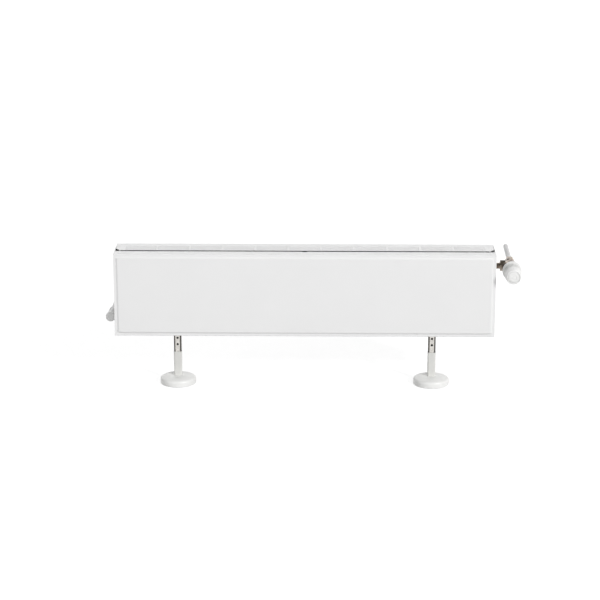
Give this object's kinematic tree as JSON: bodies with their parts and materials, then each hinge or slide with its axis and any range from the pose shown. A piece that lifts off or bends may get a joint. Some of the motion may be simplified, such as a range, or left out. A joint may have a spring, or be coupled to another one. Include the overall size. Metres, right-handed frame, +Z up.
{
  "type": "low panel radiator",
  "caption": "Low, long hot-water panel radiator with a flat front, top grille, thermostatic valve, return valve and two floor feet with cover sleeves and roses.",
  "frame": {"origin": "on the floor, midway between the two feet's bolt pairs, and midway through the radiator", "axes": "+X along the radiator to the end with the thermostatic valve, front face towards -Y, +Z up"},
  "size_m": [0.9849, 0.2273, 0.333],
  "materials": {
    "white_steel": "white baked enamel, satin",
    "inner_steel": "white primer and enamel on pressed sheet",
    "galvanised": "bright zinc plated sheet",
    "zinc_bolts": "zinc plated",
    "cover_plastic": "white moulded plastic, soft gloss",
    "nickel": "nickel plated brass",
    "bare_brass": "machined brass",
    "pin_steel": "stainless steel",
    "white_pipe": "white coated steel tube",
    "head_plastic": "white moulded plastic, fine matt",
    "sensor_metal": "plain"
  },
  "bodies": {
    "radiator": {"front_plate": "white_steel", "front_panel_outer_sheet": "inner_steel", "front_panel_inner_sheet": "inner_steel", "rear_panel_inner_sheet": "inner_steel", "rear_panel_outer_sheet": "white_steel", "front_convector": "inner_steel", "rear_convector": "inner_steel", "rear_top_rail": "white_steel", "left_side_panel": "white_steel", "right_side_panel": "white_steel", "vent_plug": "nickel", "blanking_plug": "nickel", "foot_bolts": "zinc_bolts", "foot_nuts": "zinc_bolts", "valve_tail": "nickel", "valve_union_nut": "nickel", "valve_body": "nickel", "valve_insert": "bare_brass", "valve_compression_nut": "nickel", "supply_pipe": "white_pipe", "head_collar": "nickel", "head_base": "head_plastic", "return_nipple": "nickel", "return_body": "white_pipe", "return_compression_nut": "white_pipe", "return_pipe": "white_pipe", "upper_left_tee": "inner_steel", "lower_left_tee": "inner_steel", "upper_right_tee": "inner_steel", "lower_right_tee": "inner_steel", "left_base_plate": "galvanised", "left_column": "galvanised", "left_saddle": "galvanised", "right_base_plate": "galvanised", "right_column": "galvanised", "right_saddle": "galvanised"},
    "grille": {"top_grille": "white_steel"},
    "dial": {"head_dial": "head_plastic", "head_cap": "head_plastic"},
    "pin": {"valve_pin": "pin_steel", "head_sensor": "sensor_metal"},
    "cap": {"return_cap": "head_plastic"},
    "spindle": {"return_spindle": "bare_brass"},
    "vent": {"vent_screw": "bare_brass"},
    "left_sleeve": {"left_sleeve": "cover_plastic"},
    "right_sleeve": {"right_sleeve": "cover_plastic"},
    "left_rose": {"left_rose": "cover_plastic"},
    "right_rose": {"right_rose": "cover_plastic"}
  },
  "joints": [
    {"name": "grille_lift", "type": "slide", "parent": "radiator", "child": "grille", "axis": [0, 0, 1], "range_m": [0, 0.04]},
    {"name": "dial_turn", "type": "hinge", "parent": "radiator", "child": "dial", "pos_m": [0.4882, -0.05982, 0.29029], "axis": [0, -0.9969, -0.0785], "range_deg": [-145, 145]},
    {"name": "pin_travel", "type": "slide", "parent": "radiator", "child": "pin", "axis": [0, 0.9969, 0.0785], "range_m": [-0.0012, 0.0012]},
    {"name": "cap_pull", "type": "slide", "parent": "radiator", "child": "cap", "axis": [0, -1, 0], "range_m": [0, 0.03]},
    {"name": "spindle_turn", "type": "hinge", "parent": "radiator", "child": "spindle", "pos_m": [-0.4626, -0.01, 0.171], "axis": [0, -1, 0], "range_deg": [0, 720]},
    {"name": "vent_turn", "type": "hinge", "parent": "radiator", "child": "vent", "pos_m": [-0.45, 0, 0.295], "axis": [-1, 0, 0], "range_deg": [0, 360]},
    {"name": "left_sleeve_lift", "type": "slide", "parent": "radiator", "child": "left_sleeve", "axis": [0, 0, 1], "range_m": [0, 0.03]},
    {"name": "left_rose_lift", "type": "slide", "parent": "radiator", "child": "left_rose", "axis": [0, 0, 1], "range_m": [0, 0.04]},
    {"name": "right_sleeve_lift", "type": "slide", "parent": "radiator", "child": "right_sleeve", "axis": [0, 0, 1], "range_m": [0, 0.03]},
    {"name": "right_rose_lift", "type": "slide", "parent": "radiator", "child": "right_rose", "axis": [0, 0, 1], "range_m": [0, 0.04]}
  ],
  "couplings": [
    {"joint": "pin_travel", "follows": "dial_turn", "m_per_rad": 0.00047417}
  ]
}
